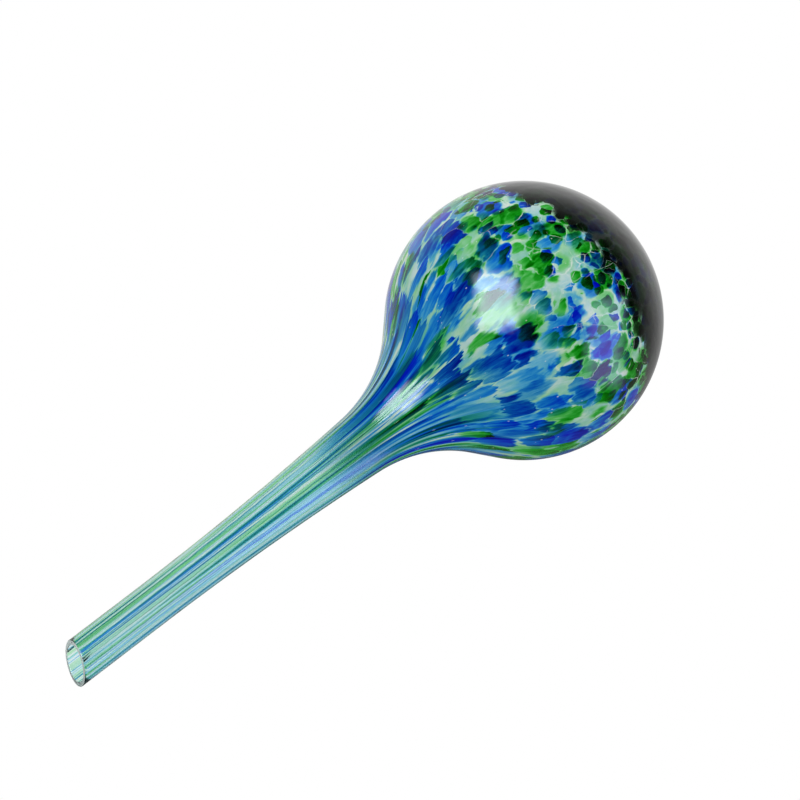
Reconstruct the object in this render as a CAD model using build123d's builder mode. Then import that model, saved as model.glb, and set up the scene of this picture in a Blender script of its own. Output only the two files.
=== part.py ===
"""Hand-blown glass watering globe: a round bulb drawn out into a long open stem.

The wall is one fused body of glass in three layers. A clear inner bubble was rolled in
coloured frit, and the frit was taken up under a thin clear casing. Round frit chips lie on
the bulb, and the same frit is drawn out into long streaks down the neck and stem. The crown
is smoke-grey glass. +Z runs along the axis from the stem's tip to the crown.
"""

import math
import os
import random

from build123d import *

# Outside of the globe, in millimetres and degrees
bulb_radius = 37.0
bulb_height = 154.0
shoulder_angle = 45.0
neck_radius = 40.0
flare_radius = 926.0
stem_radius = 5.65
stem_straight = 25.0
mouth_slant = 23.0
crown_angle = 62.0

# Thickness of each layer of the wall, in the stem and in the bulb
stem_casing_wall = 0.4
stem_colour_wall = 0.3
stem_inner_wall = 0.37
bulb_casing_wall = 0.7
bulb_colour_wall = 0.5
bulb_inner_wall = 0.8
layer_seam = 0.06

# Frit chips on the bulb, in rows from the shoulder up to the crown
frit_rows = 6
frit_columns = 20
frit_corners = 6
frit_gap = 0.7
frit_smallest = 0.72
frit_seed = 11

# Streaks of drawn-out frit in the neck and stem, in sets of one streak of each colour
streak_sets = 9
narrow_streak = 0.45
wide_streak = 1.6
streak_seed = 65

bulb_centre = (0.0, bulb_height)


def on_circle(centre, radius, angle):
    """Point of a profile circle at an angle in degrees."""
    turn = math.radians(angle)
    return (centre[0] + radius * math.cos(turn), centre[1] + radius * math.sin(turn))


class WallSurface:
    """One surface of revolution in the wall, set in from the outside by its two depths.

    Its profile runs up from the tip: the straight end, the slow flare, the hollow neck, the
    straight shoulder and the round bulb, each tangent to the next.
    """

    def __init__(self, stem_depth, bulb_depth):
        self.stem = stem_radius - stem_depth
        self.flare = flare_radius + stem_depth
        self.neck = neck_radius + stem_depth
        self.bulb = bulb_radius - bulb_depth
        self.tip = (self.stem, 0.0)
        self.flare_centre = (self.stem + self.flare, stem_straight)
        self.shoulder = on_circle(bulb_centre, self.bulb, -shoulder_angle)
        self.crown_seam = on_circle(bulb_centre, self.bulb, 90 - crown_angle)
        self.pole = (0.0, bulb_height + self.bulb)
        self.place_neck()

    def place_neck(self):
        """Find the neck circle that touches both the shoulder line and the flare circle."""
        slope = math.radians(shoulder_angle)
        along = (math.sin(slope), math.cos(slope))
        away = (math.cos(slope), -math.sin(slope))
        from_flare_x = self.shoulder[0] + self.neck * away[0] - self.flare_centre[0]
        from_flare_z = self.shoulder[1] + self.neck * away[1] - self.flare_centre[1]
        reach = self.flare - self.neck
        half = from_flare_x * along[0] + from_flare_z * along[1]
        rest = from_flare_x**2 + from_flare_z**2 - reach**2
        back = half + math.sqrt(half**2 - rest)
        centre_x = self.flare_centre[0] + from_flare_x - back * along[0]
        centre_z = self.flare_centre[1] + from_flare_z - back * along[1]
        self.neck_centre = (centre_x, centre_z)
        rise = centre_z - self.flare_centre[1]
        run = self.flare_centre[0] - centre_x
        self.flare_turn = math.degrees(math.atan2(rise, run))
        self.neck_top = on_circle(self.neck_centre, self.neck, 180 - shoulder_angle)

    def draw_stem(self):
        """Profile from the tip to the shoulder seam."""
        neck_turn = shoulder_angle - self.flare_turn
        Line(self.tip, (self.stem, stem_straight))
        CenterArc(self.flare_centre, self.flare, 180, -self.flare_turn)
        CenterArc(self.neck_centre, self.neck, 180 - self.flare_turn, -neck_turn)
        Line(self.neck_top, self.shoulder)

    def draw_bulb(self):
        """Profile from the shoulder seam to the crown seam."""
        CenterArc(bulb_centre, self.bulb, -shoulder_angle, shoulder_angle + 90 - crown_angle)

    def draw_crown(self):
        """Profile from the crown seam to the pole."""
        CenterArc(bulb_centre, self.bulb, 90 - crown_angle, crown_angle)


# The surfaces that bound the three layers, from the outside in, with a hairline seam between layers
stem_frit_depth = stem_casing_wall + layer_seam
bulb_frit_depth = bulb_casing_wall + layer_seam
stem_bubble_depth = stem_frit_depth + stem_colour_wall + layer_seam
bulb_bubble_depth = bulb_frit_depth + bulb_colour_wall + layer_seam
outside = WallSurface(0.0, 0.0)
under_casing = WallSurface(stem_casing_wall, bulb_casing_wall)
frit_outside = WallSurface(stem_frit_depth, bulb_frit_depth)
frit_inside = WallSurface(stem_frit_depth + stem_colour_wall, bulb_frit_depth + bulb_colour_wall)
bubble_outside = WallSurface(stem_bubble_depth, bulb_bubble_depth)
inside = WallSurface(stem_bubble_depth + stem_inner_wall, bulb_bubble_depth + bulb_inner_wall)

# The mouth is cut aslant, with its longest side at +X reaching the tip at z = 0
slant = math.radians(mouth_slant)
mouth_plane = Plane(
    origin=(0, 0, stem_radius * math.tan(slant)),
    z_dir=(math.sin(slant), 0, math.cos(slant)),
)


def meridian_plane(turn):
    """Upright half plane through the axis, turned about it by an angle in degrees."""
    angle = math.radians(turn)
    return Plane(
        origin=(0, 0, 0),
        x_dir=(math.cos(angle), math.sin(angle), 0),
        z_dir=(math.sin(angle), -math.cos(angle), 0),
    )


# Clear outer skin of the stem and neck
with BuildPart() as stem_casing:
    with BuildSketch(Plane.XZ):
        with BuildLine():
            outside.draw_stem()
            under_casing.draw_stem()
            Line(outside.tip, under_casing.tip)
            Line(outside.shoulder, under_casing.shoulder)
        make_face()
    revolve(axis=Axis.Z)
    split(bisect_by=mouth_plane, keep=Keep.TOP)

# Clear outer skin of the bulb, over the frit
with BuildPart() as bulb_casing:
    with BuildSketch(Plane.XZ):
        with BuildLine():
            outside.draw_bulb()
            under_casing.draw_bulb()
            Line(outside.shoulder, under_casing.shoulder)
            Line(outside.crown_seam, under_casing.crown_seam)
        make_face()
    revolve(axis=Axis.Z)

# Smoke-grey cap of the crown, as thick as the casing and the frit together
with BuildPart() as crown_cap:
    with BuildSketch(Plane.XZ):
        with BuildLine():
            outside.draw_crown()
            frit_inside.draw_crown()
            Line(outside.crown_seam, frit_inside.crown_seam)
            Line(outside.pole, frit_inside.pole)
        make_face()
    revolve(axis=Axis.Z)

# Clear inner bubble, which holds the water and lines the stem down to the mouth
with BuildPart() as inner_bubble:
    with BuildSketch(Plane.XZ):
        with BuildLine():
            bubble_outside.draw_stem()
            bubble_outside.draw_bulb()
            bubble_outside.draw_crown()
            inside.draw_stem()
            inside.draw_bulb()
            inside.draw_crown()
            Line(bubble_outside.tip, inside.tip)
            Line(bubble_outside.pole, inside.pole)
        make_face()
    revolve(axis=Axis.Z)
    split(bisect_by=mouth_plane, keep=Keep.TOP)

# The whole layer of frit on the bulb, before it is parted into chips and ground
with BuildPart() as frit_layer:
    with BuildSketch(Plane.XZ):
        with BuildLine():
            frit_outside.draw_bulb()
            frit_inside.draw_bulb()
            Line(frit_outside.shoulder, frit_inside.shoulder)
            Line(frit_outside.crown_seam, frit_inside.crown_seam)
        make_face()
    revolve(axis=Axis.Z)

# Middle of the frit layer, along which the rows of chips are spaced by latitude
frit_radius = (frit_outside.bulb + frit_inside.bulb) / 2
row_turn = (shoulder_angle + 90 - crown_angle) / frit_rows
column_turn = 360 / frit_columns


def chip_cutter(row, column, shapes):
    """Prism with an uneven outline, square to the wall, that cuts one chip out of the layer."""
    latitude = math.radians((row + 0.5) * row_turn - shoulder_angle)
    turn = math.radians((column + 0.5 * (row % 2)) * column_turn)
    from_axis = frit_radius * math.cos(latitude)
    height = bulb_height + frit_radius * math.sin(latitude)
    half_width = from_axis * math.radians(column_turn) / 2 - frit_gap / 2
    half_height = frit_radius * math.radians(row_turn) / 2 - frit_gap / 2
    reach = bulb_colour_wall + (half_width**2 + half_height**2) / frit_radius
    corners = []
    first = shapes.uniform(0, 360 / frit_corners)
    for corner in range(frit_corners):
        angle = math.radians(first + corner * 360 / frit_corners)
        size = shapes.uniform(frit_smallest, 1)
        corners.append((half_width * size * math.cos(angle), half_height * size * math.sin(angle)))
    square_to_wall = Plane(
        origin=(from_axis * math.cos(turn), from_axis * math.sin(turn), height),
        x_dir=(-math.sin(turn), math.cos(turn), 0),
        z_dir=(
            math.cos(latitude) * math.cos(turn),
            math.cos(latitude) * math.sin(turn),
            math.sin(latitude),
        ),
    )
    with BuildPart() as cutter:
        with BuildSketch(square_to_wall):
            with BuildLine():
                Polyline(*corners, close=True)
            make_face()
        extrude(amount=reach, both=True)
    return cutter.part


# Each chip takes one of three colours of frit
chip_shapes = random.Random(frit_seed)
chip_cutters = {"blue": [], "green": [], "teal": []}
for row in range(frit_rows):
    for column in range(frit_columns):
        colour = chip_shapes.choice(("blue", "blue", "green", "green", "teal"))
        chip_cutters[colour].append(chip_cutter(row, column, chip_shapes))

# Cobalt blue chips
with BuildPart() as blue_frit:
    add(frit_layer.part)
    add(chip_cutters["blue"], mode=Mode.INTERSECT)

# Emerald green chips
with BuildPart() as green_frit:
    add(frit_layer.part)
    add(chip_cutters["green"], mode=Mode.INTERSECT)

# Teal chips, where blue and green frit melted into one another
with BuildPart() as teal_frit:
    add(frit_layer.part)
    add(chip_cutters["teal"], mode=Mode.INTERSECT)

# Pale ground between the chips
with BuildPart() as opal_ground:
    add(frit_layer.part)
    add(sum(chip_cutters.values(), []), mode=Mode.SUBTRACT)

# Streaks of uneven width fill the circle, and no two neighbours share a colour
streak_order = ("blue", "opal", "green")
streak_count = streak_sets * len(streak_order)
streak_widths = random.Random(streak_seed)
shares = [streak_widths.uniform(narrow_streak, wide_streak) for streak in range(streak_count)]
streak_turns = [360 * share / sum(shares) for share in shares]
streak_starts = [sum(streak_turns[:streak]) for streak in range(streak_count)]


def streak(number):
    """One streak, from the mouth up to the shoulder seam."""
    with BuildPart() as drawn:
        with BuildSketch(meridian_plane(streak_starts[number])):
            with BuildLine():
                frit_outside.draw_stem()
                frit_inside.draw_stem()
                Line(frit_outside.tip, frit_inside.tip)
                Line(frit_outside.shoulder, frit_inside.shoulder)
            make_face()
        revolve(axis=Axis.Z, revolution_arc=streak_turns[number])
        split(bisect_by=mouth_plane, keep=Keep.TOP)
    return drawn.part


streaks = {colour: [] for colour in streak_order}
for number in range(streak_count):
    streaks[streak_order[number % len(streak_order)]].append(streak(number))

# Blue streaks of the neck and stem
with BuildPart() as blue_streaks:
    add(streaks["blue"])

# Green streaks of the neck and stem
with BuildPart() as green_streaks:
    add(streaks["green"])

# Pale streaks of the neck and stem
with BuildPart() as opal_streaks:
    add(streaks["opal"])

pieces = {
    "stem_casing": stem_casing,
    "bulb_casing": bulb_casing,
    "crown_cap": crown_cap,
    "inner_bubble": inner_bubble,
    "blue_frit": blue_frit,
    "green_frit": green_frit,
    "teal_frit": teal_frit,
    "opal_ground": opal_ground,
    "blue_streaks": blue_streaks,
    "green_streaks": green_streaks,
    "opal_streaks": opal_streaks,
}

os.makedirs("parts", exist_ok=True)
for name, piece in pieces.items():
    piece.part.label = name
    export_step(piece.part, f"parts/{name}.step")
    print(name, len(piece.part.solids()), "solids", round(piece.part.volume, 1), "mm3")
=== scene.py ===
import math
from types import SimpleNamespace

import bpy
from mathutils import Matrix, Vector


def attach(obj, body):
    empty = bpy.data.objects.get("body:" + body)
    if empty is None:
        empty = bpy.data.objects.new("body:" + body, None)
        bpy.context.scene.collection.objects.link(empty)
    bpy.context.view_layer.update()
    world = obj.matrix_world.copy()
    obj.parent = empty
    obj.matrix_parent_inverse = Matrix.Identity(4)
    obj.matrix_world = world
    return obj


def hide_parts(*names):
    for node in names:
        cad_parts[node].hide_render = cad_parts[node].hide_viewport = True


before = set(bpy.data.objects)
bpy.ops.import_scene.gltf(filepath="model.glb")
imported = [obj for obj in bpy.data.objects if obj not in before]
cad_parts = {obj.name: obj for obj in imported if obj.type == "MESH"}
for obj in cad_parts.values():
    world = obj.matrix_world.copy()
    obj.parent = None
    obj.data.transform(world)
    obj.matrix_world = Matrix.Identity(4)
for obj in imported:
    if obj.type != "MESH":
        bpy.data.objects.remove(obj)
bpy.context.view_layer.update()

# Outside of the globe and the layers of its wall, in millimetres and degrees as in the part's source
bulb_radius = 37.0
bulb_height = 154.0
shoulder_angle = 45.0
neck_radius = 40.0
flare_radius = 926.0
stem_radius = 5.65
stem_straight = 25.0
mouth_slant = 23.0
crown_angle = 62.0
stem_seam_depth = 0.79
bulb_seam_depth = 1.29
stem_wall = 1.19
bulb_wall = 2.12
rim_round = 0.2
mm = 0.001

# The stem is drawn this much too long, in millimetres, and then cut aslant
spare_stem = 4.0

# Steps along each run of the profile, round the axis and round a rim
straight_steps = 8
flare_steps = 24
neck_steps = 24
shoulder_steps = 4
bulb_steps = 48
crown_steps = 36
turn_steps = 192
rim_steps = 3

# Edges that turn by less, in degrees, are shaded smooth
smooth_angle = 40.0

# How near, in millimetres, points merge and the cut catches them, and points and faces count as lying on
# the cut or on its rim
merge_gap = 0.01
cut_gap = 0.001
plane_gap = 0.002
face_gap = 0.02
rim_gap = 0.03


def on_circle(centre, radius, angle):
    """Point of a profile circle at an angle in degrees."""
    turn = math.radians(angle)
    return (centre[0] + radius * math.cos(turn), centre[1] + radius * math.sin(turn))


def along_arc(centre, radius, start, end, count):
    """Points along a profile arc, with both ends."""
    return [on_circle(centre, radius, start + (end - start) * i / count) for i in range(count + 1)]


def along_line(start, end, count):
    """Points along a straight run of the profile, without its end."""
    return [
        (start[0] + (end[0] - start[0]) * i / count, start[1] + (end[1] - start[1]) * i / count)
        for i in range(count)
    ]


def wall_line(stem_depth, bulb_depth):
    """Profiles of stem, bulb and crown for one surface of the wall, from below the mouth to the pole."""
    stem = stem_radius - stem_depth
    flare = flare_radius + stem_depth
    neck = neck_radius + stem_depth
    bulb = bulb_radius - bulb_depth
    flare_centre = (stem + flare, stem_straight)
    bulb_centre = (0.0, bulb_height)
    shoulder = on_circle(bulb_centre, bulb, -shoulder_angle)

    # The neck's circle touches the flare's from inside and the shoulder's straight cone
    slope = math.radians(shoulder_angle)
    along = (math.sin(slope), math.cos(slope))
    away = (math.cos(slope), -math.sin(slope))
    from_x = shoulder[0] + neck * away[0] - flare_centre[0]
    from_z = shoulder[1] + neck * away[1] - flare_centre[1]
    half = from_x * along[0] + from_z * along[1]
    back = half + math.sqrt(half**2 - from_x**2 - from_z**2 + (flare - neck) ** 2)
    neck_centre = (flare_centre[0] + from_x - back * along[0], flare_centre[1] + from_z - back * along[1])
    flare_turn = math.degrees(
        math.atan2(neck_centre[1] - flare_centre[1], flare_centre[0] - neck_centre[0])
    )
    neck_top = on_circle(neck_centre, neck, 180 - shoulder_angle)

    stem_line = along_line((stem, -spare_stem), (stem, stem_straight), straight_steps)
    stem_line += along_arc(flare_centre, flare, 180, 180 - flare_turn, flare_steps)[:-1]
    stem_line += along_arc(neck_centre, neck, 180 - flare_turn, 180 - shoulder_angle, neck_steps)[:-1]
    stem_line += along_line(neck_top, shoulder, shoulder_steps) + [shoulder]
    bulb_line = along_arc(bulb_centre, bulb, -shoulder_angle, 90 - crown_angle, bulb_steps)
    crown_line = along_arc(bulb_centre, bulb, 90 - crown_angle, 90, crown_steps)
    crown_line[-1] = (0.0, bulb_height + bulb)
    return stem_line, bulb_line, crown_line


def joined(lines):
    """One profile from below the mouth to the pole."""
    stem, bulb, crown = lines
    return stem + bulb[1:] + crown[1:]


outside = wall_line(0.0, 0.0)
seam = wall_line(stem_seam_depth, bulb_seam_depth)
inside = wall_line(stem_wall, bulb_wall)

slant = math.radians(mouth_slant)
mouth_point = Vector((0, 0, stem_radius * math.tan(slant))) * mm
mouth_normal = Vector((math.sin(slant), 0, math.cos(slant)))


def pick(piece):
    """Select one piece alone and make it active."""
    bpy.ops.object.select_all(action="DESELECT")
    piece.select_set(True)
    bpy.context.view_layer.objects.active = piece


def blow(name, outline):
    """Draw an outline in the XZ plane point by point and spin it round the axis into a closed wall."""
    bpy.ops.object.select_all(action="DESELECT")
    first = Vector((outline[0][0], 0, outline[0][1])) * mm
    bpy.ops.mesh.primitive_plane_add(size=mm, location=first)
    piece = bpy.context.object
    piece.name = name
    bpy.ops.object.transform_apply(location=True, rotation=True, scale=True)
    bpy.ops.object.mode_set(mode="EDIT")
    bpy.ops.mesh.select_mode(type="VERT")
    bpy.ops.mesh.merge(type="CENTER")
    for start, end in zip(outline, outline[1:]):
        step = ((end[0] - start[0]) * mm, 0, (end[1] - start[1]) * mm)
        bpy.ops.mesh.extrude_vertices_move(TRANSFORM_OT_translate={"value": step})
    bpy.ops.mesh.select_all(action="SELECT")
    bpy.ops.mesh.spin(steps=turn_steps, angle=2 * math.pi, center=(0, 0, 0), axis=(0, 0, 1))
    bpy.ops.mesh.select_all(action="SELECT")
    bpy.ops.mesh.remove_doubles(threshold=merge_gap * mm)
    bpy.ops.mesh.select_all(action="SELECT")
    bpy.ops.mesh.normals_make_consistent(inside=False)
    bpy.ops.object.mode_set(mode="OBJECT")
    return piece


def cut_mouth(piece):
    """Cut the end of a wall aslant and close the cut between its two rims."""
    pick(piece)
    bpy.ops.object.mode_set(mode="EDIT")
    bpy.ops.mesh.select_all(action="SELECT")
    bpy.ops.mesh.bisect(
        plane_co=mouth_point, plane_no=mouth_normal, clear_inner=True, threshold=cut_gap * mm
    )
    bpy.ops.mesh.bridge_edge_loops()
    bpy.ops.mesh.select_all(action="SELECT")
    bpy.ops.mesh.normals_make_consistent(inside=False)
    bpy.ops.object.mode_set(mode="OBJECT")


def polish_rim(piece, radius):
    """Round off one rim of the mouth, as the flame leaves it."""
    pick(piece)
    bpy.ops.object.mode_set(mode="EDIT")
    bpy.ops.mesh.select_mode(type="EDGE")
    bpy.ops.mesh.select_all(action="DESELECT")
    bpy.ops.object.mode_set(mode="OBJECT")
    for edge in piece.data.edges:
        ends = [piece.data.vertices[i].co for i in edge.vertices]
        edge.select = all(
            abs((end - mouth_point).dot(mouth_normal)) < plane_gap * mm
            and abs(math.hypot(end.x, end.y) - radius * mm) < rim_gap * mm
            for end in ends
        )
    bpy.ops.object.mode_set(mode="EDIT")
    bpy.ops.mesh.bevel(offset=rim_round * mm, segments=rim_steps, affect="EDGES")
    bpy.ops.object.mode_set(mode="OBJECT")


# Shells of glass: coloured outer ones from the outside to the seam, and the clear bubble within
stem_glass = blow("stem_glass", outside[0] + seam[0][::-1] + outside[0][:1])
cut_mouth(stem_glass)
polish_rim(stem_glass, stem_radius)
bulb_glass = blow("bulb_glass", outside[1] + seam[1][::-1] + outside[1][:1])
crown_glass = blow("crown_glass", outside[2][::-1] + seam[2])
inner_bubble = blow("clear_inner_bubble", joined(seam)[::-1] + joined(inside))
cut_mouth(inner_bubble)
polish_rim(inner_bubble, stem_radius - stem_wall)


def linear(code):
    """sRGB hex colour as linear red, green, blue and alpha."""
    parts = [int(code[i : i + 2], 16) / 255 for i in (1, 3, 5)]
    return [c / 12.92 if c <= 0.04045 else ((c + 0.055) / 1.055) ** 2.4 for c in parts] + [1.0]


def put(tree, kind, inputs=None, **settings):
    """Add a node with its settings, and fill its inputs with values or with other nodes' outputs."""
    node = tree.nodes.new(kind)
    for name, value in settings.items():
        setattr(node, name, value)
    for socket, value in (inputs or {}).items():
        if isinstance(value, bpy.types.Node):
            value = next(output for output in value.outputs if output.enabled)
        if isinstance(value, bpy.types.NodeSocket):
            tree.links.new(value, node.inputs[socket])
        else:
            node.inputs[socket].default_value = value
    return node


def new_material(name):
    """Empty material and its node tree."""
    material = bpy.data.materials.new(name)
    material.use_nodes = True
    material.node_tree.nodes.clear()
    return material, material.node_tree


# Width of a chip of frit on the bulb, and the radius within which chips shrink no more towards the pole, in
# millimetres
chip_width = 5.3
least_ring = 14.0
chips_per_radius = bulb_radius / chip_width

# How long the chips are drawn out, as length over width, at heights above the tip in millimetres
drawn_out = [
    (0, 500), (60, 350), (90, 110), (104, 26), (112, 10), (118, 5.6), (123, 3.7), (128, 2.7), (134, 2.1),
    (141, 1.65), (154, 1.25), (165, 1.0), (191, 1.0),
]

# Heights in millimetres between which round chips become combed ones, the bulb becomes the neck, and the
# milky neck becomes the clear stem
combed_heights = (170.0, 118.0)
neck_heights = (130.0, 110.0)
stem_heights = (111.0, 80.0)

# Heights in millimetres at which the colours are mixed as at the crown's edge and as in the neck
crown_mix_height = 168.0
neck_mix_height = 124.0

# Heights in millimetres between which the wide and the small white veins begin to show
wide_vein_heights = (138.0, 160.0)
small_vein_heights = (166.0, 176.0)

# Edge of the smoke in millimetres: where it thickens, how much lower it may reach by chance and from chip to
# chip, how much lower painted shade takes it on the two sides seen edge on from the camera, and their
# direction
smoke_heights = (176.2, 181.5)
smoke_wander = 14.0
smoke_step = 5.0
painted_shade_droop = 6.0
edge_on_side = (0.89, -0.45, 0.0)


def between(table, x):
    """Straight-line value of a table of pairs."""
    for (x0, y0), (x1, y1) in zip(table, table[1:]):
        if x <= x1:
            return y0 + (y1 - y0) * min(1, max(0, (x - x0) / (x1 - x0)))
    return table[-1][1]


def flow_table():
    """Length along the wall counted in drawn-out chips, against the height."""
    line = joined(outside)
    table = [(line[0][1], 0.0)]
    for (r0, z0), (r1, z1) in zip(line, line[1:]):
        run = math.hypot(r1 - r0, z1 - z0)
        ring = (r0 + r1) / 2
        if z0 > bulb_height:
            ring = max(ring, least_ring)
        chips = run * chips_per_radius / ring / between(drawn_out, (z0 + z1) / 2)
        table.append((z1, table[-1][1] + chips))
    return table


flow_heights = flow_table()


def mark_flow(piece):
    """Store how far along the drawn-out frit each point of the wall lies."""
    flow = piece.data.attributes.new("flow", "FLOAT", "POINT")
    flow.data.foreach_set("value", [between(flow_heights, v.co.z / mm) for v in piece.data.vertices])


def frit_wall(tree):
    """What the patterns of the frit read: zones along the wall, and places in the drawn-out frit."""
    wall = SimpleNamespace()
    wall.coords = put(tree, "ShaderNodeTexCoord").outputs["Object"]
    wall.height = put(tree, "ShaderNodeSeparateXYZ", {0: wall.coords}).outputs["Z"]
    # 0 above a zone's heights and 1 below them
    wall.drawn, wall.neck, wall.thin = [
        put(
            tree, "ShaderNodeMapRange", {0: wall.height, 1: top * mm, 2: bottom * mm, 3: 0.0, 4: 1.0},
            interpolation_type="SMOOTHSTEP",
        )
        for top, bottom in (combed_heights, neck_heights, stem_heights)
    ]
    # 1 near the crown's edge, 0 below the middle of the bulb
    wall.upper = put(tree, "ShaderNodeMapRange", {0: wall.drawn, 1: 0.60, 2: 0.05, 3: 0.0, 4: 1.0})

    # Place in the frit: round the axis, and along the wall in drawn-out chips
    ring = put(tree, "ShaderNodeVectorMath", {0: wall.coords, 1: (1, 1, 0)}, operation="MULTIPLY")
    wall.around = put(tree, "ShaderNodeVectorMath", {0: ring}, operation="NORMALIZE")
    ring = put(tree, "ShaderNodeVectorMath", {0: wall.around, "Scale": chips_per_radius}, operation="SCALE")
    flow = put(tree, "ShaderNodeAttribute", attribute_name="flow").outputs["Fac"]
    lift = put(tree, "ShaderNodeCombineXYZ", {2: flow})
    wall.place = put(tree, "ShaderNodeVectorMath", {0: ring, 1: lift}, operation="ADD")

    # Combed ends: fine streaks along the flow push the chips to and fro
    comb_place = put(tree, "ShaderNodeVectorMath", {0: wall.place, 1: (2.4, 2.4, 0.6)}, operation="MULTIPLY")
    comb = put(
        tree, "ShaderNodeTexNoise", {"Vector": comb_place, "Scale": 1.0, "Detail": 3.0, "Roughness": 0.6}
    )
    comb_size = put(tree, "ShaderNodeMapRange", {0: wall.drawn, 1: 0.0, 2: 1.0, 3: 0.1, 4: 1.1})
    comb_size = put(tree, "ShaderNodeMapRange", {0: wall.thin, 1: 0.0, 2: 1.0, 3: comb_size, 4: 0.0})
    comb = put(tree, "ShaderNodeMath", {0: comb, 1: 0.5}, operation="SUBTRACT")
    comb = put(tree, "ShaderNodeMath", {0: comb, 1: comb_size}, operation="MULTIPLY")
    comb = put(tree, "ShaderNodeCombineXYZ", {2: comb})
    # Melted outlines: the whole pattern is bent a little
    bend = put(
        tree, "ShaderNodeTexNoise", {"Vector": wall.place, "Scale": 1.1, "Detail": 2.5, "Roughness": 0.45}
    )
    bend = put(
        tree, "ShaderNodeVectorMath", {0: bend.outputs["Color"], 1: (0.5, 0.5, 0.5)}, operation="SUBTRACT"
    )
    bend_size = put(tree, "ShaderNodeMapRange", {0: wall.thin, 1: 0.0, 2: 1.0, 3: 0.5, 4: 0.15})
    bend = put(tree, "ShaderNodeVectorMath", {0: bend, "Scale": bend_size}, operation="SCALE")
    melt = put(tree, "ShaderNodeVectorMath", {0: wall.place, 1: bend}, operation="ADD")
    wall.bent = put(tree, "ShaderNodeVectorMath", {0: melt, 1: comb}, operation="ADD")
    return wall


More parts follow.
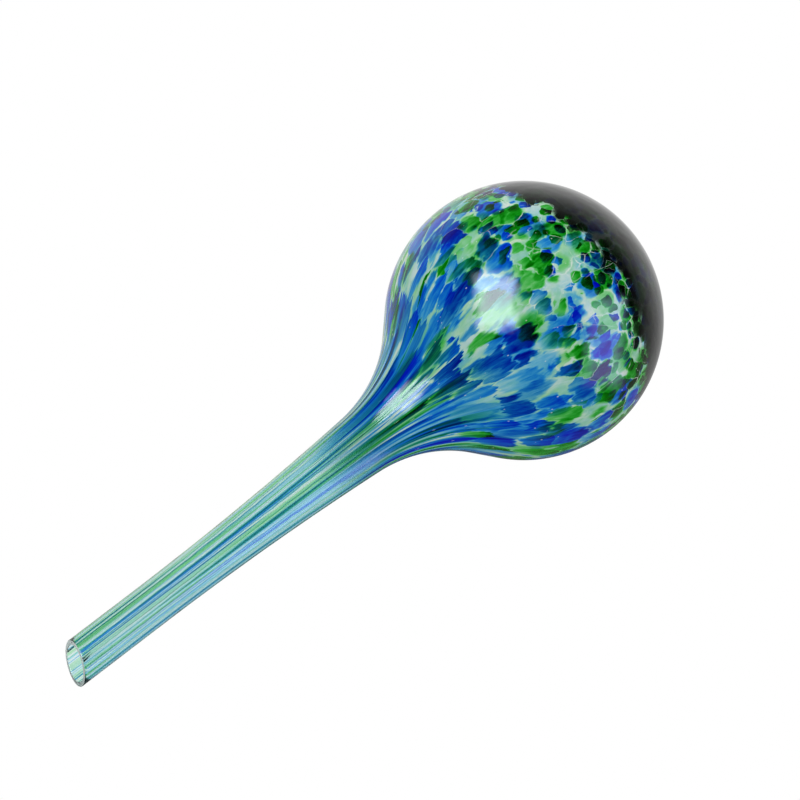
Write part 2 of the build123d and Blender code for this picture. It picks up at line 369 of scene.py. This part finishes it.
def lay_chips(tree, wall):
    """Depths of blue, green and soot in the chips, and the edges and dice of their three lattices."""
    crown_flow = between(flow_heights, crown_mix_height)
    neck_flow = between(flow_heights, neck_mix_height)

    # Grain: each chip is streaked inside
    grain_place = put(tree, "ShaderNodeVectorMath", {0: wall.bent, 1: (4.0, 4.0, 1.2)}, operation="MULTIPLY")
    grain = put(
        tree, "ShaderNodeTexNoise", {"Vector": grain_place, "Scale": 1.0, "Detail": 3.0, "Roughness": 0.65}
    )
    grain = put(tree, "ShaderNodeMapRange", {0: grain, 1: 0.3, 2: 0.7, 3: 0.55, 4: 1.4})
    # Chips near the crown were melted round, the drawn-out ones keep their corners
    rounded = put(tree, "ShaderNodeMapRange", {0: wall.drawn, 1: 0.05, 2: 0.90, 3: 0.31, 4: 0.06})
    # Ground: the gaps between the chips open and close
    ground = put(
        tree, "ShaderNodeTexNoise", {"Vector": wall.bent, "Scale": 0.9, "Detail": 3.0, "Roughness": 0.6}
    )
    ground = put(tree, "ShaderNodeMapRange", {0: ground, 1: 0.34, 2: 0.68, 3: 0.14, 4: -0.13})
    ground = put(tree, "ShaderNodeMath", {0: wall.upper, 1: 0.04, 2: ground}, operation="MULTIPLY_ADD")

    chips = SimpleNamespace(blue=0.0, green=0.0, soot=0.0, edges=[], dice=[])
    # shift of the lattice, its cells per chip, up to which die a cell is blue, from which and up to which it
    # is green (near the crown and in the neck), where its corners fade, how soft its edges are, its thinnest
    # and thickest chip, how much of it is laid
    for shift, size, blue_to, green_from, green_to, melted, soft, depths, share in (
        # most chips lie side by side
        (
            (20.0, 3.0, 0.6), 1.0, (0.37, 0.88), (0.27, 0.88), (0.90, 0.96),
            (1.00, 0.80), 0.10, (0.55, 2.7), 1.0,
        ),
        # a few lie over them
        (
            (17.3, 2.1, 9.7), 0.8, (0.26, 0.52), (0.76, 0.87), (1.0, 1.0),
            (0.95, 0.55), 0.12, (0.4, 1.6), 1.0,
        ),
        # small crisp chips lie near the crown
        (
            (3.7, 8.9, 1.3), 1.8, (0.33, 0.33), (0.68, 0.68), (1.0, 1.0),
            (0.95, 0.78), 0.08, (1.7, 3.8), wall.upper,
        ),
    ):
        at = put(tree, "ShaderNodeVectorMath", {0: wall.bent, 1: shift}, operation="ADD")
        cells = {"Vector": at, "Scale": size, "Randomness": 0.85}
        cell = put(tree, "ShaderNodeTexVoronoi", cells, feature="F1")
        edge = put(tree, "ShaderNodeTexVoronoi", cells, feature="DISTANCE_TO_EDGE")
        dice = put(tree, "ShaderNodeSeparateColor", {0: cell.outputs["Color"]})
        corner = put(tree, "ShaderNodeMath", {0: cell, 1: rounded}, operation="ADD")
        corner = put(
            tree, "ShaderNodeMapRange", {0: corner, 1: melted[0], 2: melted[1], 3: 0.0, 4: 1.0},
            interpolation_type="SMOOTHSTEP",
        )
        gap = put(tree, "ShaderNodeMath", {0: edge, 1: ground}, operation="ADD")
        gap = put(
            tree, "ShaderNodeMapRange", {0: gap, 1: 0.0, 2: soft, 3: 0.0, 4: 1.0},
            interpolation_type="SMOOTHSTEP",
        )
        # each chip is thicker at its upper end
        middle = put(
            tree, "ShaderNodeVectorMath", {0: cell.outputs["Position"], 1: shift}, operation="SUBTRACT"
        )
        from_middle = put(tree, "ShaderNodeVectorMath", {0: wall.bent, 1: middle}, operation="SUBTRACT")
        from_middle = put(tree, "ShaderNodeSeparateXYZ", {0: from_middle}).outputs["Z"]
        wedge = put(tree, "ShaderNodeMapRange", {0: from_middle, 1: -0.6, 2: 0.4, 3: 0.4, 4: 1.2})
        chip = put(
            tree, "ShaderNodeMapRange", {0: dice.outputs[1], 1: 0.0, 2: 1.0, 3: depths[0], 4: depths[1]}
        )
        for part in (corner, gap, wedge, grain, share):
            chip = put(tree, "ShaderNodeMath", {0: chip, 1: part}, operation="MULTIPLY")

        # the die of its cell makes a chip blue, green, both or clear, and some blue ones sooty
        middle = put(tree, "ShaderNodeSeparateXYZ", {0: middle}).outputs["Z"]
        limits = [
            put(
                tree, "ShaderNodeMapRange",
                {0: middle, 1: crown_flow, 2: neck_flow, 3: limit[0], 4: limit[1]},
            )
            for limit in (blue_to, green_from, green_to)
        ]
        is_blue = put(tree, "ShaderNodeMath", {0: dice.outputs[0], 1: limits[0]}, operation="LESS_THAN")
        is_green = put(tree, "ShaderNodeMath", {0: dice.outputs[0], 1: limits[1]}, operation="GREATER_THAN")
        not_clear = put(tree, "ShaderNodeMath", {0: dice.outputs[0], 1: limits[2]}, operation="LESS_THAN")
        is_green = put(tree, "ShaderNodeMath", {0: is_green, 1: not_clear}, operation="MULTIPLY")
        is_teal = put(tree, "ShaderNodeMath", {0: is_blue, 1: is_green}, operation="MULTIPLY")
        thinned = put(tree, "ShaderNodeMapRange", {0: is_teal, 1: 0.0, 2: 1.0, 3: 1.0, 4: 0.5})
        chip = put(tree, "ShaderNodeMath", {0: chip, 1: thinned}, operation="MULTIPLY")
        is_dark = put(tree, "ShaderNodeMath", {0: dice.outputs[2], 1: 0.3}, operation="LESS_THAN")
        is_dark = put(tree, "ShaderNodeMath", {0: is_dark, 1: is_blue}, operation="MULTIPLY")
        chips.blue = put(
            tree, "ShaderNodeMath", {0: chip, 1: is_blue, 2: chips.blue}, operation="MULTIPLY_ADD"
        )
        chips.green = put(
            tree, "ShaderNodeMath", {0: chip, 1: is_green, 2: chips.green}, operation="MULTIPLY_ADD"
        )
        chips.soot = put(
            tree, "ShaderNodeMath", {0: chip, 1: is_dark, 2: chips.soot}, operation="MULTIPLY_ADD"
        )
        chips.edges.append(edge)
        chips.dice.append(dice)
    return chips


def draw_streaks(tree, wall, chips):
    """Depths of blue, green and soot all over: chips and washes on the bulb, bands and fine lines below it.

    With them come the fine ridges in which the drawn-out frit stands up in the neck.
    """
    wash = put(
        tree, "ShaderNodeTexNoise", {"Vector": wall.bent, "Scale": 0.7, "Detail": 4.0, "Roughness": 0.65}
    )
    wash = put(tree, "ShaderNodeSeparateColor", {0: wash.outputs["Color"]})
    noises = []
    # how fine the noise of the bands and of the lines is round the axis and along a metre of it, its
    # detail, where it starts
    for fine, rise, detail, start in (
        (2.8, 4.0, 2.0, (11.7, 4.1, 2.0)),
        (8.0, 7.0, 1.0, (0.0, 6.4, 2.0)),
    ):
        at = put(
            tree, "ShaderNodeVectorMath", {0: wall.around, 1: (fine, fine, 0), 2: start},
            operation="MULTIPLY_ADD",
        )
        at = put(
            tree, "ShaderNodeVectorMath", {0: wall.coords, 1: (0, 0, rise), 2: at}, operation="MULTIPLY_ADD"
        )
        noise = put(
            tree, "ShaderNodeTexNoise", {"Vector": at, "Scale": 1.0, "Detail": detail, "Roughness": 0.55}
        )
        noises.append(put(tree, "ShaderNodeSeparateColor", {0: noise.outputs["Color"]}))
    bands, lines = noises
    # Pale lines run through the neck
    pale_line = put(
        tree, "ShaderNodeMapRange", {0: lines.outputs[2], 1: 0.56, 2: 0.62, 3: 0.0, 4: wall.neck}
    )
    pale_line = put(tree, "ShaderNodeMapRange", {0: pale_line, 1: 0.0, 2: 1.0, 3: 1.0, 4: 0.2})
    # What the neck keeps of the chips, and how much of the bands and lines lies there
    gathered = put(tree, "ShaderNodeMapRange", {0: wall.neck, 1: 0.0, 2: 1.0, 3: 1.0, 4: 0.6})
    laid = put(tree, "ShaderNodeMapRange", {0: wall.neck, 1: 0.0, 2: 1.0, 3: 0.0, 4: 1.2})
    # Washes of thin colour lie where no chip does
    chipped = put(tree, "ShaderNodeMath", {0: chips.blue, 1: chips.green}, operation="ADD")
    bare = put(tree, "ShaderNodeMapRange", {0: chipped, 1: 0.0, 2: 0.7, 3: 1.0, 4: 0.1})
    totals = []
    stem_lines = []
    # chips, channel of the noises, depth of the wash, where the bands begin and where they are full, their
    # depth in the stem, how many times that in the neck, depth of the lines, what the stem keeps of a chip
    for chip, channel, wash_depth, band_from, band_to, band_depth, neck_times, line_depth, kept in (
        (chips.blue, 0, 0.22, 0.48, 0.41, 0.38, 2.6, 1.6, 0.06),
        (chips.green, 1, 0.38, 0.54, 0.60, 0.36, 1.6, 0.8, 0.08),
    ):
        washed = put(
            tree, "ShaderNodeMapRange", {0: wash.outputs[channel], 1: 0.40, 2: 0.70, 3: 0.0, 4: wash_depth}
        )
        on_bulb = put(tree, "ShaderNodeMath", {0: washed, 1: bare, 2: chip}, operation="MULTIPLY_ADD")
        line = put(
            tree, "ShaderNodeMapRange",
            {0: lines.outputs[channel], 1: 0.575, 2: 0.625, 3: 0.0, 4: line_depth},
        )
        band = put(
            tree, "ShaderNodeMapRange",
            {0: bands.outputs[0], 1: band_from, 2: band_to, 3: 0.0, 4: band_depth},
            interpolation_type="SMOOTHSTEP",
        )
        in_stem = put(tree, "ShaderNodeMath", {0: on_bulb, 1: kept, 2: line}, operation="MULTIPLY_ADD")
        in_stem = put(tree, "ShaderNodeMath", {0: in_stem, 1: band}, operation="ADD")
        in_neck = put(tree, "ShaderNodeMath", {0: band, 1: neck_times, 2: line}, operation="MULTIPLY_ADD")
        total = put(tree, "ShaderNodeMath", {0: on_bulb, 1: gathered}, operation="MULTIPLY")
        total = put(tree, "ShaderNodeMath", {0: in_neck, 1: laid, 2: total}, operation="MULTIPLY_ADD")
        total = put(tree, "ShaderNodeMath", {0: total, 1: pale_line}, operation="MULTIPLY")
        totals.append(put(tree, "ShaderNodeMix", {0: wall.thin, 2: total, 3: in_stem}, data_type="FLOAT"))
        stem_lines.append(line)
    # On the bulb soot lies in the dark chips, in the stem in the blue lines
    soot = put(tree, "ShaderNodeMapRange", {0: wall.thin, 1: 0.0, 2: 1.0, 3: chips.soot, 4: stem_lines[0]})
    ridges = put(tree, "ShaderNodeMapRange", {0: wall.thin, 1: 0.0, 2: 1.0, 3: wall.neck, 4: 0.0})
    ridges = put(tree, "ShaderNodeMath", {0: lines.outputs[2], 1: ridges}, operation="MULTIPLY")
    return SimpleNamespace(blue=totals[0], green=totals[1], soot=soot, ridges=ridges)


def tint_ground(tree, wall, depths):
    """Colour of the wall: a pale ground under coloured glass, which is deeper where it is thicker."""
    loss = (0.0, 0.0, 0.0)
    # what a unit of depth takes of red, green and blue light
    for depth, taken in (
        (depths.blue, (-3.2, -1.04, -0.07)),
        (depths.green, (-2.3, -0.5, -2.1)),
        (depths.soot, (-0.2, -0.2, -0.2)),
    ):
        part = put(tree, "ShaderNodeVectorMath", {0: taken, "Scale": depth}, operation="SCALE")
        loss = put(tree, "ShaderNodeVectorMath", {0: loss, 1: part}, operation="ADD")
    loss = put(tree, "ShaderNodeSeparateXYZ", {0: loss})
    left = [put(tree, "ShaderNodeMath", {0: loss.outputs[i]}, operation="EXPONENT") for i in range(3)]
    light = put(tree, "ShaderNodeCombineColor", dict(enumerate(left)))
    pale = put(
        tree, "ShaderNodeMix", {0: wall.thin, 6: linear("#D6E0D3"), 7: linear("#E9F2EA")}, data_type="RGBA"
    )
    return put(tree, "ShaderNodeMix", {0: 1.0, 6: pale, 7: light}, data_type="RGBA", blend_type="MULTIPLY")


def white_marks(tree, wall, chips):
    """How white the glass is: veins between the chips, cords, and painted glints of tiny bubbles."""
    # White veins wind between the chips in patches, and break up small at the crown's edge
    patch = put(tree, "ShaderNodeTexNoise", {"Vector": wall.place, "Scale": 1.5, "Detail": 2.0})
    patch = put(tree, "ShaderNodeMapRange", {0: patch, 1: 0.46, 2: 0.64, 3: 0.0, 4: 0.8})
    veins = []
    # edges of the lattice, the veins' width in its cells, between which heights they begin to show
    for edge, width, (lowest, highest) in (
        (chips.edges[0], 0.026, wide_vein_heights),
        (chips.edges[2], 0.05, small_vein_heights),
    ):
        vein = put(
            tree, "ShaderNodeMapRange", {0: edge, 1: 0.0, 2: width, 3: patch, 4: 0.0},
            interpolation_type="SMOOTHSTEP",
        )
        high = put(
            tree, "ShaderNodeMapRange", {0: wall.height, 1: lowest * mm, 2: highest * mm, 3: 0.0, 4: 1.0}
        )
        veins.append(put(tree, "ShaderNodeMath", {0: vein, 1: high}, operation="MULTIPLY"))
    vein = put(tree, "ShaderNodeMath", {0: veins[0], 1: veins[1]}, operation="MAXIMUM")
    # Cords: thin bright lines that wind through the glass
    cord = put(tree, "ShaderNodeTexNoise", {"Vector": wall.place, "Scale": 0.28, "Detail": 0.0})
    cord = put(tree, "ShaderNodeMath", {0: cord, 1: 0.5}, operation="SUBTRACT")
    cord = put(tree, "ShaderNodeMath", {0: cord}, operation="ABSOLUTE")
    cord = put(tree, "ShaderNodeMapRange", {0: cord, 1: 0.0005, 2: 0.0035, 3: 0.5, 4: 0.0})
    here = put(tree, "ShaderNodeTexNoise", {"Vector": wall.place, "Scale": 0.6, "Detail": 1.0})
    here = put(tree, "ShaderNodeMapRange", {0: here, 1: 0.46, 2: 0.62, 3: 0.0, 4: wall.upper})
    cord = put(tree, "ShaderNodeMath", {0: cord, 1: here}, operation="MULTIPLY")
    # Seed: tiny bubbles, with the light they catch painted in as small white glints
    bubble_glint = put(tree, "ShaderNodeTexVoronoi", {"Vector": wall.place, "Scale": 4.5}, feature="F1")
    seed_dice = put(tree, "ShaderNodeSeparateColor", {0: bubble_glint.outputs["Color"]})
    bubble_glint = put(tree, "ShaderNodeMapRange", {0: bubble_glint, 1: 0.08, 2: 0.16, 3: 0.7, 4: 0.0})
    seed_here = put(tree, "ShaderNodeMath", {0: seed_dice.outputs[0], 1: 0.14}, operation="LESS_THAN")
    bubble_glint = put(tree, "ShaderNodeMath", {0: bubble_glint, 1: seed_here}, operation="MULTIPLY")
    bright = put(tree, "ShaderNodeMath", {0: vein, 1: cord}, operation="MAXIMUM")
    bright = put(tree, "ShaderNodeMath", {0: bright, 1: bubble_glint}, operation="MAXIMUM")
    return put(tree, "ShaderNodeMapRange", {0: wall.thin, 1: 0.0, 2: 1.0, 3: bright, 4: 0.0})


def crown_smoke(tree, wall, chips):
    """Share of light that the smoke of the crown lets through.

    Its edge runs between the chips, and painted shade takes it lower on the two sides seen edge on from the
    camera.
    """
    edge = put(
        tree, "ShaderNodeTexNoise", {"Vector": wall.place, "Scale": 0.8, "Detail": 4.0, "Roughness": 0.6}
    )
    edge = put(
        tree, "ShaderNodeMath", {0: edge, 1: smoke_wander * mm, 2: wall.height}, operation="MULTIPLY_ADD"
    )
    # one die for each small chip, whose lattice is the last
    die = chips.dice[2].outputs[2]
    edge = put(tree, "ShaderNodeMath", {0: die, 1: smoke_step * mm, 2: edge}, operation="MULTIPLY_ADD")
    # painted shade: the smoke reaches lower on the two sides where the camera sees the bulb edge on
    aside = put(tree, "ShaderNodeVectorMath", {0: wall.around, 1: edge_on_side}, operation="DOT_PRODUCT")
    aside = aside.outputs["Value"]
    aside = put(tree, "ShaderNodeMath", {0: aside, 1: aside}, operation="MULTIPLY")
    edge = put(tree, "ShaderNodeMath", {0: aside, 1: painted_shade_droop * mm, 2: edge}, operation="MULTIPLY_ADD")
    smoke = put(
        tree, "ShaderNodeMapRange",
        {0: edge, 1: smoke_heights[0] * mm, 2: smoke_heights[1] * mm, 3: 0.0, 4: 1.0},
        interpolation_type="SMOOTHSTEP",
    )
    cloud = put(tree, "ShaderNodeTexNoise", {"Vector": wall.place, "Scale": 0.35, "Detail": 3.0})
    cloud = put(tree, "ShaderNodeMapRange", {0: cloud, 1: 0.4, 2: 0.7, 3: -5.0, 4: -2.8})
    clear = put(tree, "ShaderNodeMapRange", {0: smoke, 1: 0.0, 2: 1.0, 3: 0.0, 4: cloud})
    return put(tree, "ShaderNodeMath", {0: clear}, operation="EXPONENT")


def frit_glass(name):
    """Soda-lime glass with coloured frit melted in under a clear, fire-polished skin.

    The frit scatters light over most of the bulb, so the eye sees bright chips on a milky ground under a
    sharp gloss. Down the neck the glass is drawn thin and clears to a striped tube, and at the crown the
    smoke takes the light away and leaves the gloss alone. The blown surface is a little wavy.
    """
    material, tree = new_material(name)
    wall = frit_wall(tree)
    chips = lay_chips(tree, wall)
    depths = draw_streaks(tree, wall, chips)
    colour = tint_ground(tree, wall, depths)
    white = white_marks(tree, wall, chips)
    colour = put(tree, "ShaderNodeMix", {0: white, 6: colour, 7: linear("#DFE9E4")}, data_type="RGBA")
    clear = crown_smoke(tree, wall, chips)
    colour = put(
        tree, "ShaderNodeMix", {0: 1.0, 6: colour, 7: clear}, data_type="RGBA", blend_type="MULTIPLY"
    )
    see_through = put(tree, "ShaderNodeMapRange", {0: wall.thin, 1: 0.0, 2: 1.0, 3: 0.15, 4: 0.93})
    see_through = put(tree, "ShaderNodeMath", {0: see_through, 1: clear}, operation="MULTIPLY")
    # waves about 11 mm long and a fraction of a millimetre high, with the neck's ridges on them
    wave = put(
        tree, "ShaderNodeTexNoise", {"Vector": wall.coords, "Scale": 90.0, "Detail": 2.5, "Roughness": 0.6}
    )
    wave = put(tree, "ShaderNodeBump", {"Height": wave, "Strength": 0.4, "Distance": 0.6 * mm})
    wave = put(
        tree, "ShaderNodeBump",
        {"Height": depths.ridges, "Strength": 0.5, "Distance": 0.5 * mm, "Normal": wave},
    )
    glass = put(
        tree, "ShaderNodeBsdfPrincipled",
        {
            "Base Color": colour, "Roughness": 0.03, "IOR": 1.5, "Transmission Weight": see_through,
            "Normal": wave,
        },
    )
    put(tree, "ShaderNodeOutputMaterial", {"Surface": glass})
    return material


def rim_glass(name):
    """Cut and fire-polished end of the stem: pale glass seen edge on, with a few dark nicks."""
    material, tree = new_material(name)
    coords = put(tree, "ShaderNodeTexCoord").outputs["Object"]
    # nicks are about a millimetre long
    nick = put(tree, "ShaderNodeTexNoise", {"Vector": coords, "Scale": 700.0, "Detail": 1.0})
    nick = put(tree, "ShaderNodeMapRange", {0: nick, 1: 0.71, 2: 0.74, 3: 0.0, 4: 1.0})
    tone = put(
        tree, "ShaderNodeMix", {0: nick, 6: linear("#E2EDEB"), 7: linear("#20302E")}, data_type="RGBA"
    )
    glass = put(
        tree, "ShaderNodeBsdfPrincipled",
        {"Base Color": tone, "Roughness": 0.08, "IOR": 1.5, "Transmission Weight": 0.2},
    )
    put(tree, "ShaderNodeOutputMaterial", {"Surface": glass})
    return material


def clear_glass(name):
    """Clear soda-lime glass of the inner bubble, smooth as blown, which the eye knows by its gloss alone."""
    material, tree = new_material(name)
    glass = put(
        tree, "ShaderNodeBsdfPrincipled",
        {"Base Color": linear("#F4F9F7"), "Roughness": 0.0, "IOR": 1.5, "Transmission Weight": 1.0},
    )
    put(tree, "ShaderNodeOutputMaterial", {"Surface": glass})
    return material


def fused_seam(name):
    """Melted boundary between two layers of glass, which the eye doesn't see."""
    material, tree = new_material(name)
    put(tree, "ShaderNodeOutputMaterial", {"Surface": put(tree, "ShaderNodeBsdfTransparent")})
    return material


frit = frit_glass("streaked frit glass")
smoke = frit_glass("smoke grey glass")
clear = clear_glass("clear soda lime glass")
rim = rim_glass("fire polished rim glass")
melted = fused_seam("fused glass boundary")

# Least cosine between a face and the way out of the wall for an outer face, or the way in for an inner one
side_lean = 0.45


def shell_side(face):
    """Whether a face lies at the mouth, on the outer or the inner surface, or across the wall."""
    if abs((face.center - mouth_point).dot(mouth_normal)) < face_gap * mm:
        return "mouth"
    c = face.center / mm
    if c.z > bulb_height:
        out = Vector((c.x, c.y, c.z - bulb_height)).normalized()
    else:
        out = Vector((c.x, c.y, 0)).normalized()
    lean = face.normal.dot(out)
    if lean > side_lean:
        return "outer"
    if lean < -side_lean:
        return "inner"
    return "across"


# Each shell has its own glass on the side that shows, and the seam's boundary on the rest
for piece, slots, sides, slot, replaced in (
    (
        stem_glass, (frit, melted, rim), {"outer": 0, "mouth": 2}, "clear_glass",
        ("stem_casing", "blue_streaks", "green_streaks", "opal_streaks"),
    ),
    (
        bulb_glass, (frit, melted), {"outer": 0}, "clear_glass",
        ("bulb_casing", "blue_frit", "green_frit", "teal_frit", "opal_ground"),
    ),
    (crown_glass, (smoke, melted), {"outer": 0}, "smoke_glass", ("crown_cap",)),
    (inner_bubble, (clear, melted, rim), {"inner": 0, "mouth": 2}, "clear_glass", ("inner_bubble",)),
):
    for material in slots:
        piece.data.materials.append(material)
    pick(piece)
    bpy.ops.object.shade_smooth_by_angle(angle=math.radians(smooth_angle))
    for face in piece.data.polygons:
        face.material_index = sides.get(shell_side(face), 1)
    mark_flow(piece)
    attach(piece, "root")
    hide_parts(*replaced)


# Camera as in the photograph: below the bulb on the stem's side, with the axis tipped by 21 degrees. Angles
# are in radians, distances in metres, and the sensor is in millimetres
photo_size = 800
focal_pixels = 3393.0
bulb_in_photo = (523.87, 320.63)
axis_tip = math.radians(21.0)
axis_roll = math.radians(52.63)
mouth_turn = math.radians(27.0)
camera_distance = 0.9
nearest_view = 0.01
sensor_width = 36.0
bulb_middle = Vector((0, 0, bulb_height * mm))
away = Vector((math.sin(mouth_turn), math.cos(mouth_turn), 0))
forward = away * math.cos(axis_tip) + Vector((0, 0, math.sin(axis_tip)))
upright = Vector((0, 0, math.cos(axis_tip))) - away * math.sin(axis_tip)
across = forward.cross(upright)
right = across * math.cos(axis_roll) + upright * math.sin(axis_roll)
above = upright * math.cos(axis_roll) - across * math.sin(axis_roll)
eye = bulb_middle - camera_distance * forward
# The bulb isn't in the middle of the photograph, so the line of sight passes beside it
aside = (bulb_in_photo[0] - photo_size / 2) / focal_pixels
raised = (photo_size / 2 - bulb_in_photo[1]) / focal_pixels
sight = (forward - aside * right - raised * above).normalized()
right = (right - right.dot(sight) * sight).normalized()
above = right.cross(sight)
camera_data = bpy.data.cameras.new("photo_camera")
camera_data.sensor_width = sensor_width
camera_data.lens = focal_pixels / photo_size * sensor_width
camera_data.clip_start = nearest_view
camera = bpy.data.objects.new("photo_camera", camera_data)
bpy.context.collection.objects.link(camera)
camera.matrix_world = Matrix(
    (
        (right.x, above.x, -sight.x, eye.x),
        (right.y, above.y, -sight.y, eye.y),
        (right.z, above.z, -sight.z, eye.z),
        (0, 0, 0, 1),
    )
)
bpy.context.scene.camera = camera

# Key light, in metres and watts: a soft box above the bulb, which gloss and clear glass don't show
key_direction = Vector((-0.80, -0.25, 0.55)).normalized()
key_distance = 0.9
key_width = 0.5
key_power = 2.0
key_data = bpy.data.lights.new("key_softbox", "AREA")
key_data.shape = "SQUARE"
key_data.size = key_width
key_data.energy = key_power
key_data.color = linear("#FFFFFF")[:3]
key = bpy.data.objects.new("key_softbox", key_data)
bpy.context.collection.objects.link(key)
key.location = bulb_middle + key_direction * key_distance
key.rotation_euler = (-key_direction).to_track_quat("-Z", "Y").to_euler()
key.visible_glossy = False
key.visible_transmission = False

# White world: the camera and the clear glass see plain white, gloss sees the studio with its two windows
world = bpy.data.worlds.new("white_studio")
bpy.context.scene.world = world
world.use_nodes = True
tree = world.node_tree
tree.nodes.clear()
path = put(tree, "ShaderNodeLightPath")
ray = put(tree, "ShaderNodeTexCoord").outputs["Generated"]
backward = tuple(-sight)
towards, upwards = [
    put(tree, "ShaderNodeVectorMath", {0: ray, 1: axis}, operation="DOT_PRODUCT").outputs["Value"]
    for axis in (backward, tuple(above))
]
# Where on a ball, from its middle to its rim, the camera sees a ray's mirror point
mirror = put(tree, "ShaderNodeVectorMath", {0: ray, 1: backward}, operation="ADD")
mirror = put(tree, "ShaderNodeVectorMath", {0: mirror}, operation="NORMALIZE")
spots = [
    put(tree, "ShaderNodeVectorMath", {0: mirror, 1: tuple(axis)}, operation="DOT_PRODUCT").outputs["Value"]
    for axis in (right, above)
]
# The studio is dark in front of the glass and pale behind it, more so above
behind = put(tree, "ShaderNodeMapRange", {0: spots[1], 1: -0.9, 2: 0.7, 3: 0.10, 4: 0.85})
gloss = put(
    tree, "ShaderNodeMapRange", {0: towards, 1: -0.1, 2: -0.85, 3: 0.012, 4: behind},
    interpolation_type="SMOOTHSTEP",
)
gloss = put(tree, "ShaderNodeCombineColor", {0: gloss, 1: gloss, 2: gloss})
# middle and half size of each window on that ball, its soft edge, its colour and its strength
for middle, half, soft, tone, strength in (
    ((-0.21, 0.125), (0.14, 0.185), 0.05, "#E4EFFF", 13.0),
    ((0.556, -0.146), (0.13, 0.30), 0.06, "#B8AEFF", 4.0),
):
    spans = []
    for spot, centre, reach in zip(spots, middle, half):
        off = put(tree, "ShaderNodeMath", {0: spot, 1: centre}, operation="SUBTRACT")
        off = put(tree, "ShaderNodeMath", {0: off}, operation="ABSOLUTE")
        span = put(
            tree, "ShaderNodeMapRange", {0: off, 1: reach + soft, 2: reach - soft, 3: 0.0, 4: 1.0},
            interpolation_type="SMOOTHSTEP",
        )
        spans.append(span)
    window = put(tree, "ShaderNodeMath", {0: spans[0], 1: spans[1]}, operation="MULTIPLY")
    glow = [strength * channel for channel in linear(tone)[:3]]
    glow = put(tree, "ShaderNodeVectorMath", {0: glow, "Scale": window}, operation="SCALE")
    gloss = put(tree, "ShaderNodeVectorMath", {0: gloss, 1: glow}, operation="ADD")
# Plain light for all else, a little weaker from below
room = put(tree, "ShaderNodeMapRange", {0: upwards, 1: -1.0, 2: 1.0, 3: 0.85, 4: 1.0})
room = put(tree, "ShaderNodeCombineColor", {0: room, 1: room, 2: room})
studio = put(
    tree, "ShaderNodeMix", {0: path.outputs["Is Glossy Ray"], 6: room, 7: gloss}, data_type="RGBA"
)
seen = put(
    tree, "ShaderNodeMath", {0: path.outputs["Is Camera Ray"], 1: path.outputs["Is Transmission Ray"]},
    operation="MAXIMUM",
)
studio = put(tree, "ShaderNodeMix", {0: seen, 6: studio, 7: (1, 1, 1, 1)}, data_type="RGBA")
backdrop = put(tree, "ShaderNodeBackground", {"Color": studio, "Strength": 1.0})
put(tree, "ShaderNodeOutputWorld", {"Surface": backdrop})

# Pale floor just under the tip, in metres, which can't be seen from below
floor_width = 24.0
floor_drop = 0.0005
floor_material, tree = new_material("pale matt floor")
geometry = put(tree, "ShaderNodeNewGeometry")
paint = put(tree, "ShaderNodeBsdfDiffuse", {"Color": linear("#F4F4F4"), "Roughness": 0.5})
below = put(tree, "ShaderNodeBsdfTransparent")
surface = put(tree, "ShaderNodeMixShader", {0: geometry.outputs["Backfacing"], 1: paint, 2: below})
put(tree, "ShaderNodeOutputMaterial", {"Surface": surface})
bpy.ops.object.select_all(action="DESELECT")
bpy.ops.mesh.primitive_plane_add(size=floor_width, location=(0, 0, -floor_drop))
floor = bpy.context.object
floor.name = "floor"
floor.data.materials.append(floor_material)
floor.visible_glossy = False
floor.visible_transmission = False

bpy.context.scene.view_settings.view_transform = "Standard"
